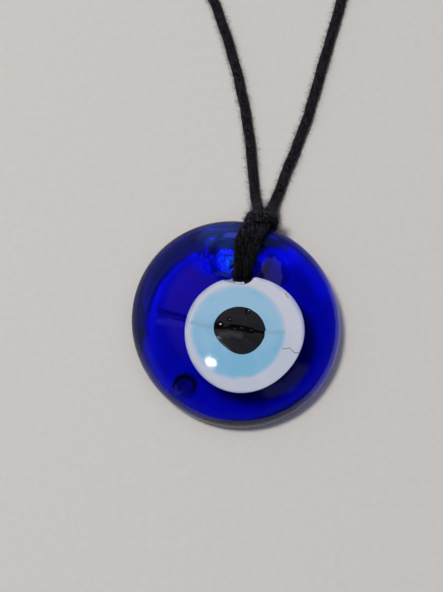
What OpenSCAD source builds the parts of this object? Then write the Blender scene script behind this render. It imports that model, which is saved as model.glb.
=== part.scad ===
// Evil eye amulet: a disc of blue glass with an eye of white, light blue and black glass, on a loop
// of soft black cord. It lies face up on a table, in millimetres, with +Z up and the cord towards +Y.
// The cord is tied through the hole with a cow hitch. Its two turns pass under the disc, so the
// disc's cord side lies on them and the whole disc leans a few degrees.

/* [Glass disc] */
// Diameter of the glass disc at its widest line
disc_d = 40; // [39.6:0.1:40.2]
// Thickness of the glass at its middle
disc_h = 7; // [6.8:0.1:7.2]
// Height of the widest line above the flat back
girth_h = 2.8; // [2.6:0.1:2.9]
// Radius that rounds the rim over to the front
shoulder_r = 3.8; // [3.4:0.1:3.8]
// How far the disc leans on the cord under it, in degrees
lean = 3.6; // [3.6:0.1:4.2]

/* [Eye] */
// Diameter of the white dot
white_d = 22.4; // [20:0.1:22.8]
// Thickness of the white dot
white_t = 1.8; // [1.6:0.1:2.2]
// Diameter of the light blue iris
iris_d = 17.8; // [14:0.1:18]
// Thickness of the iris
iris_t = 1; // [0.8:0.1:1.2]
// Diameter of the black pupil
pupil_d = 9.6; // [7:0.1:12]
// Thickness of the pupil
pupil_t = 0.5; // [0.4:0.1:0.6]
// Gap round each piece of coloured glass
glass_gap = 0.05; // [0.03:0.01:0.1]

/* [Hole] */
// Diameter of the hole for the cord
hole_d = 4.3; // [4.3:0.1:4.8]
// How much the hole widens at the back, all round
flare = 1.2; // [1.2:0.1:1.6]
// Width of the hollow round the hole at the front
hollow_d = 10.4; // [10:0.1:11]
// Depth of that hollow
hollow_depth = 2.8; // [2.6:0.1:3.2]

/* [Pit] */
// Diameter of the round pit that a burst bubble left in the back
pit_d = 4.4; // [3:0.2:5]
// Depth of the pit
pit_depth = 1.3; // [0.8:0.1:1.6]

/* [Cord] */
// Thickness of the soft cord
cord_d = 1.7; // [1.5:0.05:1.7]
// Gap between the cord and the glass, the table or itself
cord_gap = 0.08; // [0.05:0.01:0.1]
// Diameter of the knot that joins the cord's two ends
knot_d = 5; // [4.8:0.1:5]
// Length of the knot's body
knot_l = 5; // [4:0.5:6]
// Length of the two cut ends behind the knot
tail_l = 5; // [3:0.5:5]

/* [Hidden] */
$fn = 96;
cut = 1;

// Places on the disc: sideways and up the disc from its centre
white_at = [1.5, -3];
iris_at = [-0.1, -2.3];
pupil_at = [0.5, -2.1];
hole_at = [1.1, 9];
hollow_at = [-0.1, 12.1];
pit_at = [-9.8, -12];

disc_r = disc_d / 2;
heel_r = girth_h;
heel_at = disc_r - heel_r;
shoulder_at = disc_r - shoulder_r;
// The front is flat over the eye and then falls off in a large arc that meets the shoulder without an edge
flat_r = 11.3;
fall = disc_h - girth_h;
fall_r = ((shoulder_at - flat_r) ^ 2 + fall ^ 2 - shoulder_r ^ 2) / (2 * (fall - shoulder_r));
fall_fn = 360;
front_h = disc_h - 0.1;
hollow_r = bowl_radius(hollow_d, hollow_depth);
pit_r = bowl_radius(pit_d, pit_depth);

// The near edge of the back touches the table, and the glass is centred over the origin
seat_y = girth_h * sin(lean) + (shoulder_r - heel_r) * (1 - cos(lean)) / 2;
seat_z = girth_h * (1 - cos(lean)) + heel_at * sin(lean);

cord_r = cord_d / 2;
lie = cord_r + 0.05;
cord_sides = 8;
knot_r = knot_d / 2;
knot_end_r = 2.1;
knot_at = [8.25, 130, knot_r];
strand_apart = 2.1;
tail_spread = 9;
tail_drop = 17;

// Radius of the sphere that leaves a round hollow of this width and depth
function bowl_radius(width, depth) = (width ^ 2 / 4 + depth ^ 2) / (2 * depth);

// A point on the disc, [sideways, up the disc, height over its back], moved to where the disc lies
function seat(p) = [
    p.x,
    p.y * cos(lean) - p.z * sin(lean) + seat_y,
    p.y * sin(lean) + p.z * cos(lean) + seat_z,
];

// A point of the cord beside the rounded rim: how far sideways, in which layer of cord
// (1 lies on the glass, 2 lies on the first) and at which angle above the widest line
function by_rim(side, layer, angle) = let(
    edge_r = angle >= 0 ? shoulder_r : heel_r,
    out = edge_r + cord_gap + cord_r + (layer - 1) * (cord_d + cord_gap),
    reach = disc_r - edge_r + out * cos(angle)
) [side, sqrt(reach ^ 2 - side ^ 2), girth_h + out * sin(angle)];

// The cord's route, from the end knot round to the end knot again
// Left strand on the table: x, y, z
left_run = [
    [knot_at.x - strand_apart / 2, 130, knot_r],
    [5, 123, 1.4],
    [-2.6, 112.5, lie],
    [-8.4, 101.5, lie],
    [-9.6, 89, lie],
    [-6.9, 76, lie],
    [-3.6, 67, lie],
    [0.1, 54, lie],
    [2.6, 40, lie],
    [3.8, 26.6, lie],
];
// Left strand from the table up to the hitch: sideways, up the disc, height over its back
left_rise = [
    [4, 24.9, -1],
    [4.1, 23.6, 0.6],
    [4.1, 22.3, 2.6],
    by_rim(3.85, 1.05, 20),
];
// Down the front and into the hole, under the disc, over the rim and across, and back the same way
hitch_run = [
    by_rim(3.4, 1.03, 45),
    by_rim(2.6, 1.05, 68),
    [1.7, 16.4, 7.6],
    [1.1, 14.3, 7.3],
    [0.6, 12.1, 6.8],
    [0.35, 10.6, 6],
    [0.2, 9.8, 4.9],
    [0.2, 9.7, 1.2],
    [0.15, 10.2, -0.1],
    [0.4, 11.3, -0.82],
    [1, 13.4, -0.98],
    [1.5, 16, -1],
    by_rim(1.8, 1.08, -68),
    by_rim(1.9, 1.05, -35),
    by_rim(1.95, 1.05, -5),
    by_rim(1.95, 1.15, 15),
    by_rim(2.05, 1.6, 32),
    by_rim(2.85, 2.1, 48),
    by_rim(4.2, 2.15, 54),
    by_rim(5.45, 2.12, 51),
    by_rim(6.75, 1.82, 41),
    by_rim(7.5, 1.3, 21),
    by_rim(7.5, 1.05, -5),
    by_rim(7.15, 1.05, -35),
    by_rim(6.3, 1.08, -68),
    [5.1, 16, -1],
    [3.6, 13.4, -0.98],
    [2.4, 11.3, -0.82],
    [2.05, 10.2, -0.1],
    [2, 9.7, 1.2],
    [1.95, 9.75, 4.9],
    [2.1, 10.55, 6.05],
    [2.6, 12.1, 6.85],
    [3.25, 14.3, 7.4],
    [3.95, 16.4, 7.6],
    by_rim(4.55, 1.03, 68),
    by_rim(5.15, 1.03, 45),
];
// Right strand from the hitch down to the table
right_drop = [
    by_rim(5.65, 1.05, 20),
    [6.3, 22, 2.6],
    [6.9, 23.2, 0.6],
    [7.4, 24.4, -1],
];
// Right strand on the table: x, y, z
right_run = [
    [7.9, 25.9, lie],
    [9.6, 30.5, lie],
    [14, 42, lie],
    [18, 55.5, lie],
    [22.1, 69.9, lie],
    [25, 82, lie],
    [26.1, 94, lie],
    [23.4, 106, lie],
    [16.8, 117, lie],
    [10.9, 124.5, 1.4],
    [knot_at.x + strand_apart / 2, 130, knot_r],
];
route = [
    each left_run,
    for (p = [each left_rise, each hitch_run, each right_drop]) seat(p),
    each right_run,
];
first_tied = len(left_run) + len(left_rise);
last_tied = first_tied + len(hitch_run) - 1;

// Direction of the smooth line through the route's points at point i, square to the knot at its ends
out_of_knot = [0, -1, 0];
function gap_after(i) = norm(route[i + 1] - route[i]);
function step_after(i) = (route[i + 1] - route[i]) / gap_after(i);
function heading(i) = i == 0 ? out_of_knot
    : i == len(route) - 1 ? -out_of_knot
    : (step_after(i) * gap_after(i - 1) + step_after(i - 1) * gap_after(i)) / (gap_after(i) + gap_after(i - 1));

// The point a share t of the way from point i to the next, never lower than a cord on the table
function between(i, t) = let(
    p = (2 * t ^ 3 - 3 * t ^ 2 + 1) * route[i] + (3 * t ^ 2 - 2 * t ^ 3) * route[i + 1]
        + ((t ^ 3 - 2 * t ^ 2 + t) * heading(i) + (t ^ 3 - t ^ 2) * heading(i + 1)) * gap_after(i)
) [p.x, p.y, max(p.z, lie)];

// Rings of the whole cord: two for each step on the table, one for each step of the hitch
function steps(i) = i < len(left_run) - 1 || i >= len(route) - len(right_run) ? 2 : 1;
line = [
    for (i = [0:len(route) - 2]) for (k = [0:steps(i) - 1]) between(i, k / steps(i)),
    route[len(route) - 1],
];
left_ring = 2 * (len(left_run) - 1) + len(left_rise) + 1;
right_ring = left_ring + len(hitch_run) - 1;

function unit(v) = v / norm(v);
function along(i) = i == 0 ? out_of_knot
    : i == len(line) - 1 ? -out_of_knot
    : unit(line[i + 1] - line[i - 1]);
function square_to(v, t) = unit(v - (v * t) * t);
// One direction square to the line at each ring, carried along without twist
turned = [for (i = 0, n = square_to([0, 0, 1], along(0)); i < len(line); i = i + 1,
    n = i < len(line) ? square_to(n, along(i)) : n) n];

function ring(i) = let(t = along(i), n = turned[i], b = cross(t, n)) [
    for (k = [0:cord_sides - 1])
        line[i] + cord_r * (cos(360 * k / cord_sides) * n + sin(360 * k / cord_sides) * b)
];

// The stretch of cord from ring a to ring b, as one closed tube
module tube(a, b) {
    n = cord_sides;
    rings = b - a;
    polyhedron(
        points = [for (i = [a:b]) each ring(i)],
        faces = [
            [for (k = [0:n - 1]) k],
            for (i = [0:rings - 1]) for (k = [0:n - 1]) let(k2 = (k + 1) % n)
                each [
                    [i * n + k, (i + 1) * n + k, (i + 1) * n + k2],
                    [i * n + k, (i + 1) * n + k2, i * n + k2],
                ],
            [for (k = [n - 1:-1:0]) rings * n + k],
        ]
    );
}

// Puts what is drawn flat on its back where the disc lies
module seated() {
    translate([0, seat_y, seat_z]) rotate([lean, 0, 0]) children();
}

// Half of the disc's cross section: a rounded heel, a larger shoulder and the front
module disc_section() {
    intersection() {
        union() {
            square([heel_at, girth_h]);
            translate([heel_at, girth_h]) circle(heel_r);
        }
        square([disc_r + cut, girth_h]);
    }
    intersection() {
        union() {
            square([shoulder_at, disc_h + cut]);
            translate([shoulder_at, girth_h]) circle(shoulder_r);
        }
        translate([0, girth_h]) square([disc_r + cut, disc_h]);
        union() {
            square([flat_r, disc_h]);
            translate([flat_r, disc_h - fall_r]) circle(fall_r, $fn = fall_fn);
        }
    }
}

module disc() {
    rotate_extrude() disc_section();
}

// The hole, its flare at the back and the hollow round it at the front
module pierced() {
    translate([hole_at.x, hole_at.y, -cut]) cylinder(d = hole_d, h = disc_h + 2 * cut);
    translate([hole_at.x, hole_at.y, -cut])
        cylinder(r1 = hole_d / 2 + flare + cut, r2 = hole_d / 2, h = flare + cut);
    translate([hollow_at.x, hollow_at.y, front_h + hollow_r - hollow_depth]) sphere(hollow_r);
}

// A round of the disc's front, this wide and this thick, with the same surface
module round_of(at, d, t) {
    intersection() {
        disc();
        translate([at.x, at.y, disc_h - t]) cylinder(d = d, h = t + cut);
    }
}

// The room that a piece of coloured glass takes in the one below it
module room_for(at, d, t) {
    translate([at.x, at.y, disc_h - t - glass_gap]) cylinder(d = d + 2 * glass_gap, h = t + cut);
}

module glass_body() {
    color("mediumblue") seated() difference() {
        disc();
        pierced();
        room_for(white_at, white_d, white_t);
        translate([pit_at.x, pit_at.y, pit_depth - pit_r]) sphere(pit_r);
    }
}

module white_dot() {
    color("white") seated() difference() {
        round_of(white_at, white_d, white_t);
        pierced();
        room_for(iris_at, iris_d, iris_t);
    }
}

module iris() {
    color("lightskyblue") seated() difference() {
        round_of(iris_at, iris_d, iris_t);
        room_for(pupil_at, pupil_d, pupil_t);
    }
}

module pupil() {
    color("black") seated() round_of(pupil_at, pupil_d, pupil_t);
}

// The part of the cord that is tied through the hole and round the rim
module cord_hitch() {
    color("dimgray") tube(left_ring, right_ring);
}

module cord_left() {
    color("black") tube(0, left_ring);
}

module cord_right() {
    color("black") tube(right_ring, len(line) - 1);
}

// A barrel with flat ends, which the two strands meet, and the two cut ends behind it
module end_knot() {
    bulge = knot_r - knot_end_r;
    barrel_r = bowl_radius(knot_l, bulge);
    color("black") translate(knot_at) {
        translate([0, knot_l / 2, 0]) rotate([90, 0, 0]) rotate_extrude() intersection() {
            translate([knot_r - barrel_r, 0]) circle(barrel_r);
            translate([0, -knot_l / 2]) square([knot_r + cut, knot_l]);
        }
        for (side = [-1, 1])
            translate([side * strand_apart / 2, knot_l - cut, 0])
                rotate([-90 - tail_drop, 0, -side * tail_spread]) cylinder(d = cord_d, h = tail_l);
    }
}

glass_body();
white_dot();
iris();
pupil();
cord_hitch();
cord_left();
cord_right();
end_knot();
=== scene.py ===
"""Evil eye amulet: a disc of cobalt glass with an eye of white, light blue and black glass.

It lies face up on a pale table, hung on a loop of soft black cotton cord that is tied through its
hole with a cow hitch. The disc's own shapes are worked out in millimetres on a disc lying flat:
u to the right, v up the disc towards the cord, w above the flat back. They are then leaned to where
the disc lies and turned to metres. The cord's route is the one of the part's source.
"""

import logging
import math
import random
from dataclasses import dataclass, field
from enum import Enum

import bmesh
import bpy
from bpy.types import Material, NodeSocket, Object, World
from mathutils import Matrix, Quaternion, Vector, noise

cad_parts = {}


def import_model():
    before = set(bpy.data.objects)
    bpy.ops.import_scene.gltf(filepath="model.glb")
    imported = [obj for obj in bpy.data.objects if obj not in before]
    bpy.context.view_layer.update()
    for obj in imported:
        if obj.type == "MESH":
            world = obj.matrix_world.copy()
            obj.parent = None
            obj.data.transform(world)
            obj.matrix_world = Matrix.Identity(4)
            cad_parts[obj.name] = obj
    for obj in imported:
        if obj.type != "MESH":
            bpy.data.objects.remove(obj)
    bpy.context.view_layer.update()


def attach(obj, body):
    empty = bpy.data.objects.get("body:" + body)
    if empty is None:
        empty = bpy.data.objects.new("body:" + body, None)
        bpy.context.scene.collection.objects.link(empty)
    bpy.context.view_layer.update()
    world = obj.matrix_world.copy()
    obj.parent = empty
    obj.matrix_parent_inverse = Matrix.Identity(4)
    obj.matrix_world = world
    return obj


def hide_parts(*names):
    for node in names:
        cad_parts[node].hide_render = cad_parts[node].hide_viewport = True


BMesh = bmesh.types.BMesh
BMVert = bmesh.types.BMVert
Pair = tuple[float, float]
Triple = tuple[float, float, float]
Line = tuple[Pair, ...]
Stops = tuple[tuple[float, float | str], ...]

log = logging.getLogger("amulet")
MM = 0.001
# What the glass's shape and its finish share, in millimetres
DISC_R = 20.0
GIRTH_H = 2.8
HOLE: Pair = (1.1, 9.0)
PIT: Pair = (-9.8, -12.0)
GLASS_IOR = 1.51
# The two kinds of node that are used most
DOT = "VectorMath DOT_PRODUCT"
FADE = "MapRange SMOOTHSTEP"


class Slot(Enum):
    """The record's material slots."""

    COBALT = "cobalt_glass"
    WHITE = "white_glass"
    LIGHT_BLUE = "light_blue_glass"
    BLACK = "black_glass"
    CORD = "cotton_cord"


class Node(Enum):
    """The CAD nodes."""

    GLASS = "glass_body"
    WHITE = "white_dot"
    IRIS = "iris"
    PUPIL = "pupil"
    HITCH = "cord_hitch"
    LEFT = "cord_left"
    RIGHT = "cord_right"
    KNOT = "end_knot"


def smooth_step(low: float, high: float, value: float) -> float:
    """Rise smoothly from 0 at low, which may be the larger of the two, to 1 at high."""
    t = min(max((value - low) / (high - low), 0.0), 1.0)
    return t * t * (3 - 2 * t)


def soft_min(a: float, b: float, blend: float) -> float:
    """Take the lower of two heights, rounding the crease where they cross over the width blend."""
    h = max(blend - abs(a - b), 0.0) / blend
    return min(a, b) - h * h * blend / 4


def linear(hex_colour: str) -> tuple[float, float, float, float]:
    """Turn an sRGB hex colour to the linear values that shaders use.

    Args:
        hex_colour: Six hex digits, such as "c8c5c4".

    Returns:
        Linear red, green, blue and an alpha of 1.
    """
    parts = [int(hex_colour[i : i + 2], 16) / 255 for i in (0, 2, 4)]
    r, g, b = (x / 12.92 if x <= 0.04045 else ((x + 0.055) / 1.055) ** 2.4 for x in parts)
    return (r, g, b, 1.0)


@dataclass(frozen=True)
class Lean:
    """How the disc lies: leaned back on the cord under its far side."""

    degrees: float = 3.6
    shift_y: float = 0.1768
    shift_z: float = 1.08552

    def matrix(self) -> Matrix:
        """Return the transform from disc millimetres to row metres."""
        turn = Matrix.Rotation(math.radians(self.degrees), 4, "X")
        return Matrix.Scale(MM, 4) @ Matrix.Translation((0, self.shift_y, self.shift_z)) @ turn

    def level(self, point: Vector) -> Vector:
        """Move a point of the row frame, in millimetres, to its place on the level disc."""
        return self.matrix().inverted() @ (point * MM)


LEAN = Lean()


class Batch:
    """The nodes of one material, or of the room, as they are mixed."""

    modes: dict[str, str] = {
        "Math": "operation",
        "VectorMath": "operation",
        "Mix": "data_type",
        "MapRange": "interpolation_type",
        "TexWave": "wave_type",
    }

    def __init__(self, owner: Material | World) -> None:
        """Start with an empty set of nodes.

        Args:
            owner: The material or world that they make.
        """
        owner.use_nodes = True
        self.tree = owner.node_tree
        self.tree.nodes.clear()

    def add(self, kind: str, *values: object, stops: Stops = (), **named: object) -> NodeSocket | None:
        """Add one node with its settings, values and links.

        Args:
            kind: Its Blender type name, without "ShaderNode", and after a space its operation, data
                type, interpolation or wave type.
            values: Values of the inputs that it then uses, in order; each is a number, a vector, a
                colour, or the output of another node to link.
            stops: Places of a colour ramp's stops in order, each with a linear grey or an sRGB hex
                colour.
            named: More values, by the input's name with _ for a space.

        Returns:
            The first output that it then uses; its other outputs are reached through its node.
        """
        name, _, mode = kind.partition(" ")
        node = self.tree.nodes.new("ShaderNode" + name)
        if mode:
            setattr(node, self.modes[name], mode)
        used = [socket for socket in node.inputs if socket.enabled]
        given = [*zip(used, values, strict=False)]
        given += [(node.inputs[key.replace("_", " ")], value) for key, value in named.items()]
        for socket, value in given:
            if isinstance(value, NodeSocket):
                self.tree.links.new(value, socket)
            else:
                socket.default_value = value
        if stops:
            elements = node.color_ramp.elements
            elements.remove(elements[-1])
            for i, (place, shade) in enumerate(stops):
                stop = elements.new(place) if i else elements[0]
                stop.position = place
                stop.color = linear(shade) if isinstance(shade, str) else (shade, shade, shade, 1)
        return next((socket for socket in node.outputs if socket.enabled), None)

    def on_disc(self) -> NodeSocket:
        """Find the place on the disc, to which all its patterns keep.

        Returns:
            Its u, v and w in millimetres.
        """
        lean = math.radians(LEAN.degrees)
        shift = Matrix.Rotation(-lean, 3, "X") @ Vector((0, LEAN.shift_y, LEAN.shift_z))
        place = self.add("TexCoord").node.outputs["Object"]
        return self.add("Mapping", place, tuple(-shift), (-lean, 0, 0), (1 / MM, 1 / MM, 1 / MM))

    def away(self, place: NodeSocket, centre: Pair) -> NodeSocket:
        """Measure in millimetres how far, seen from above, a place lies from a centre."""
        off = self.add("VectorMath SUBTRACT", place, (*centre, 0))
        return self.add("VectorMath LENGTH", self.add("VectorMath MULTIPLY", off, (1, 1, 0)))

    def from_line(self, place: NodeSocket, points: Line) -> NodeSocket:
        """Measure how far, seen from above, a place on the disc lies from a bent line.

        Args:
            place: The place on the disc.
            points: The line's corners, as u and v.

        Returns:
            The distance in millimetres.
        """
        nearest = None
        for (a, b), (c, d) in zip(points, points[1:], strict=False):
            run = (c - a, d - b, 0)
            square = run[0] ** 2 + run[1] ** 2
            off = self.add("VectorMath SUBTRACT", place, (a, b, 0))
            along = self.add(DOT, off, (run[0] / square, run[1] / square, 0))
            # Adding nothing and clamping keeps the foot between the two corners
            share = self.add("Math ADD", along, 0.0)
            share.node.use_clamp = True
            foot = self.add("VectorMath SCALE", run, share)
            far = self.away(self.add("VectorMath SUBTRACT", off, foot), (0, 0))
            nearest = far if nearest is None else self.add("Math MINIMUM", nearest, far)
        return nearest

    def stirred(self, place: NodeSocket, size: float, reach: float) -> NodeSocket:
        """Shift places about at random, so that round edges come out uneven.

        Args:
            place: The place on the disc.
            size: Size of the unevenness, in millimetres.
            reach: How far a place shifts, in millimetres.

        Returns:
            The shifted place.
        """
        waves = self.add("TexNoise", Vector=place, Scale=1 / size, Detail=2.0)
        # The noise keeps within about a quarter of its middle tone, so it is taken four times
        centred = self.add("VectorMath SUBTRACT", waves.node.outputs["Color"], (0.5, 0.5, 0.5))
        return self.add("VectorMath ADD", place, self.add("VectorMath SCALE", centred, 4 * reach))

    def product(self, whole: NodeSocket, *shares: NodeSocket | float) -> NodeSocket:
        """Multiply shares together.

        Args:
            whole: The first share.
            shares: The others.

        Returns:
            The share that is left.
        """
        for share in shares:
            whole = self.add("Math MULTIPLY", whole, share)
        return whole


@dataclass(frozen=True)
class PaintedPatch:
    """A patch of painted light or shade on the front: a line as u and v, its reach and its strength."""

    line: Line
    inner: float
    outer: float
    share: float
    colour: str


@dataclass(frozen=True)
class Spot:
    """Round painted light or shade on the back: its share of light up to start, rising to 1 at end."""

    centre: Pair
    start: float
    end: float
    share: float


@dataclass(frozen=True)
class CobaltGlass:
    """Soda-lime glass coloured with cobalt, pressed and fire polished.

    It is clear and takes nearly all red and green within a few millimetres, so the body glows pure
    blue over a pale table, and only the glossy reflections on its shoulder look grey. The disc acts
    as a lens, so it gathers the lamp's light in bright lines and leaves the table under its rim dark.
    These are painted rather than traced: as the share of lamp light that the back lets through, as
    painted shade in the skin's colour, and as layers of painted light and shade on the front.
    """

    roughness: float = 0.02
    absorbs: tuple[float, float, float, float] = (0.0, 0.12, 0.965, 1.0)
    density: float = 520.0
    # The skin's fine waves: their size and how strongly they bend light
    ripple_mm: float = 2.2
    ripple: float = 0.05
    # The rim: where the back leaves the flat, where the band of painted shade begins, what passes it
    # and the low rim, and how much painted navy shade lies on the shoulder
    flat_r: float = 16.9
    band_r: float = 17.3
    band: float = 0.3
    low_rim: float = 0.1
    rim_shade: float = 0.52
    veil_at: Pair = (-2.47, -0.76)
    # Directions towards which the band of painted shade, the rim's painted bright line and so on grow
    band_towards: Triple = (-0.4, 0.92, 0.0)
    rim_towards: Triple = (-0.57, 0.82, 0.0)
    far_towards: Triple = (0.98, 0.17, 0.0)
    low_towards: Triple = (-0.35, -0.94, 0.0)
    corner_towards: Triple = (0.82, 0.57, 0.0)
    # Places as u and v
    # Painted shade over the hollow, a painted glow in it and rings of painted shade by it
    top_shade: Pair = (-1.0, 18.5)
    top_shade_r: float = 8.5
    hollow_glow: Pair = (-3.6, 13.0)
    ripple_at: Pair = (-3.0, 11.6)
    # Painted shade over the pit: middle, radius and darkest line, and an arc of painted highlight
    pit_shade_at: Pair = (-9.7, -12.4)
    pit_shade_r: float = 2.12
    pit_shade_line: Line = ((-8.1, -11.6), (-7.95, -12.6), (-8.3, -13.6))
    pit_highlight_arc: Line = ((-11.8, -12.8), (-11.6, -13.6), (-10.9, -14.1), (-10.3, -13.9))
    # The fold gets painted shade, and a painted highlight runs below it
    fold: Line = ((-14.6, 1.5), (-12.3, 0.8), (-9.8, 0.1))
    fold_highlight: Line = ((-14.9, -0.4), (-12.6, -0.6), (-10.4, -1.0))
    stirred_painted_spots: tuple[Spot, ...] = (
        # Painted shade under the eye and in a dull patch, painted light in a bright lobe
        Spot((2.9, -5.0), 10.1, 12.1, 0.68),  # under the eye
        Spot((7.1, 9.9), 2.2, 2.7, 0.5),  # a dull patch right of the cord
        Spot((8.4, 13.0), 1.0, 4.0, 2.0),  # a bright lobe beside it
    )
    round_painted_spots: tuple[Spot, ...] = (
        # Painted shade under the pit, round the hole and of the cord; painted light in two tiny bright
        # spots
        Spot(PIT, 1.5, 2.4, 0.85),
        Spot(HOLE, 2.6, 3.7, 0.1),
        Spot((-1.2, 11.2), 0.8, 2.4, 0.4),  # the cord's shade
        Spot((13.7, 2.9), 0.15, 0.45, 2.0),  # two tiny bubbles
        Spot((-15.8, 1.9), 0.15, 0.45, 2.0),
    )
    # Painted light: blue glows where light gathers in the glass and faint pale painted reflections; the
    # dark navy patch is painted shade
    painted_patches: tuple[PaintedPatch, ...] = (
        PaintedPatch(((-4.5, 16.4), (-1.0, 16.8)), 0.4, 4.2, 0.1, "6f96f0"),
        PaintedPatch(((6.55, 10.4), (6.75, 7.6)), 1.55, 1.95, 0.022, "e8e0f4"),
        PaintedPatch(((5.2, 11.6), (6.0, 13.2), (7.9, 13.3)), 0.3, 1.2, 0.4, "0410ff"),
        PaintedPatch(((8.6, 12.6), (9.7, 11.2)), 0.2, 0.9, 0.3, "0410ff"),
        PaintedPatch(((5.6, 15.1), (7.8, 15.0), (9.4, 14.2)), 0.4, 1.1, 0.5, "1c2450"),
        PaintedPatch(((6.6, 16.1), (7.6, 15.7)), 0.1, 0.5, 0.4, "1020ff"),
        PaintedPatch(((-6.3, 14.5), (-6.1, 14.7)), 0.1, 0.6, 0.3, "0828ff"),
        PaintedPatch(((-7.6, 11.4), (-6.2, 9.6)), 0.5, 1.9, 0.3, "0410ff"),
        PaintedPatch(((-3.4, 8.8), (-1.4, 9.2)), 0.2, 0.9, 0.03, "b0d8ff"),
        PaintedPatch(((-4.6, 15.0), (-1.4, 15.2)), 0.2, 1.3, 0.07, "4070ff"),
        PaintedPatch(((6.0, -13.4), (9.5, -12.6), (12.0, -9.5)), 0.4, 2.0, 0.011, "e0e0f4"),
        PaintedPatch(pit_highlight_arc, 0.0, 0.45, 0.035, "90a8e0"),
    )

    def gathered(self, batch: Batch, place: NodeSocket) -> NodeSocket:
        """Paint the share of lamp light that reaches the table below each place of the disc's back.

        Args:
            batch: The material's nodes.
            place: The place on the disc.

        Returns:
            The share, above 1 where light is painted as gathered.
        """
        # A painted light map: a dark rim with a bright line inside it, painted shade over the hollow
        # with a bright edge, a painted glow in the hollow, a brighter far corner, uneven clouds of light
        # and spots
        loose = batch.stirred(place, 3.5, 0.35)
        out = batch.add("Math DIVIDE", batch.away(loose, (0, 0)), DISC_R)
        edge = self.flat_r / DISC_R
        plain = batch.add("ValToRGB", out, stops=((edge, 0.5), (edge + 0.03, 0.1)))
        bright_line = (
            (edge - 0.17, 0.47),
            (edge - 0.06, 0.58),
            (edge - 0.035, 0.95),
            (edge - 0.015, 0.9),
            (edge + 0.01, 0.06),
        )
        lined = batch.add("ValToRGB", out, stops=bright_line)
        beyond = batch.add("ValToRGB", out, stops=((edge + 0.035, 0.46), (edge + 0.065, 0.12)))
        lamp_side = batch.add(FADE, batch.add(DOT, place, self.rim_towards), -4.0, 16.0, 0.0, 1.0)
        far_side = batch.add(FADE, batch.add(DOT, place, self.far_towards), 7.0, 12.5, 0.0, 1.0)
        rim = batch.add("Mix RGBA", far_side, batch.add("Mix RGBA", lamp_side, plain, lined), beyond)
        clouds = batch.add("TexNoise", Vector=place, Scale=0.22, Detail=3.0)
        uneven = batch.add(FADE, clouds, 0.3, 0.7, 1.45, 1.8)
        from_top = batch.add("Math DIVIDE", batch.away(loose, self.top_shade), DISC_R)
        edge = self.top_shade_r / DISC_R
        lens = ((edge - 0.02, 0.15), (edge + 0.01, 0.95), (edge + 0.03, 0.8), (edge + 0.08, 0.5))
        under_top = batch.add("ValToRGB", from_top, stops=lens)
        flecks = batch.add("TexNoise", Vector=batch.stirred(place, 1.5, 0.5), Scale=1.1, Detail=2.0)
        lit = batch.add(FADE, flecks, 0.38, 0.62, 0.6, 2.2)
        in_hollow = batch.add(FADE, batch.away(loose, self.hollow_glow), 2.5, 4.3, 1.0, 0.0)
        top = batch.add("Math MAXIMUM", under_top, batch.product(lit, in_hollow))
        bright = batch.add(FADE, batch.add(DOT, loose, self.corner_towards), 14.8, 16.6, 1.0, 1.8)
        share = batch.product(rim, uneven, batch.product(top, 2.0), bright)
        for where, spots in ((loose, self.stirred_painted_spots), (place, self.round_painted_spots)):
            for spot in spots:
                far = batch.away(where, spot.centre)
                left = batch.add(FADE, far, spot.start, spot.end, spot.share, 1.0)
                share = batch.product(share, left)
        return share

    def tint(self, batch: Batch, place: NodeSocket, in_front: NodeSocket) -> NodeSocket:
        """Paint shade into the skin's colour: on the rim, along the fold, by the hollow and at the pit.

        Args:
            batch: The material's nodes.
            place: The place on the disc.
            in_front: 1 on the front of the disc, 0 on its back.

        Returns:
            The share.
        """
        loose = batch.stirred(place, 4.0, 0.15)
        out = batch.away(loose, (0, 0))
        lamp_side = batch.add(FADE, batch.add(DOT, place, self.band_towards), 0.5, 8.0, 0.0, 1.0)
        beyond = batch.add(FADE, out, self.band_r - 0.25, self.band_r + 0.35, 0.0, 1.0 - self.band)
        band = batch.add("Math SUBTRACT", 1.0, batch.product(beyond, lamp_side))
        fold = batch.add(FADE, batch.from_line(loose, self.fold), 0.35, 0.8, 0.36, 1.0)
        off = batch.add("VectorMath SUBTRACT", place, (*self.ripple_at, 0))
        rings = batch.add("TexWave RINGS", off, Scale=0.42, Distortion=9.0, Detail=2.0, Detail_Scale=1.4)
        rings.node.rings_direction = "SPHERICAL"
        dark = batch.add(FADE, rings.node.outputs["Fac"], 0.2, 0.6, 0.4, 1.0)
        near = batch.add(FADE, batch.away(loose, self.ripple_at), 4.0, 6.0, 1.0, 0.0)
        rippled = batch.add("Mix FLOAT", near, 1.0, dark)
        down = batch.add(DOT, place, self.low_towards)
        low_side = batch.add(FADE, down, 3.0, 11.0, 0.0, 1.0 - self.low_rim)
        edge = batch.add(FADE, batch.away(loose, (0.0, -0.5)), 17.95, 18.5, 0.0, 1.0)
        low = batch.add("Math SUBTRACT", 1.0, batch.product(edge, low_side))
        front = batch.product(band, fold, rippled, low)
        back = batch.add(FADE, batch.away(place, PIT), 2.1, 2.4, 0.75, 1.0)
        return batch.add("Mix FLOAT", in_front, back, front)

    def open_glass(self, batch: Batch, place: NodeSocket, in_front: NodeSocket) -> NodeSocket:
        """Let lamp light in at the front, hardly at the steep rim, and out by the back's painted light
        map.

        Args:
            batch: The material's nodes.
            place: The place on the disc.
            in_front: 1 on the front of the disc, 0 on its back.

        Returns:
            The skin that the lamp's light meets.
        """
        facing = batch.add("NewGeometry").node.outputs["Normal"]
        upright = batch.add("SeparateXYZ", facing).node.outputs["Z"]
        enters = batch.add(FADE, batch.add("Math ABSOLUTE", upright), 0.35, 0.8, 0.12, 1.0)
        lets = batch.add("Mix FLOAT", in_front, self.gathered(batch, place), enters)
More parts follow.
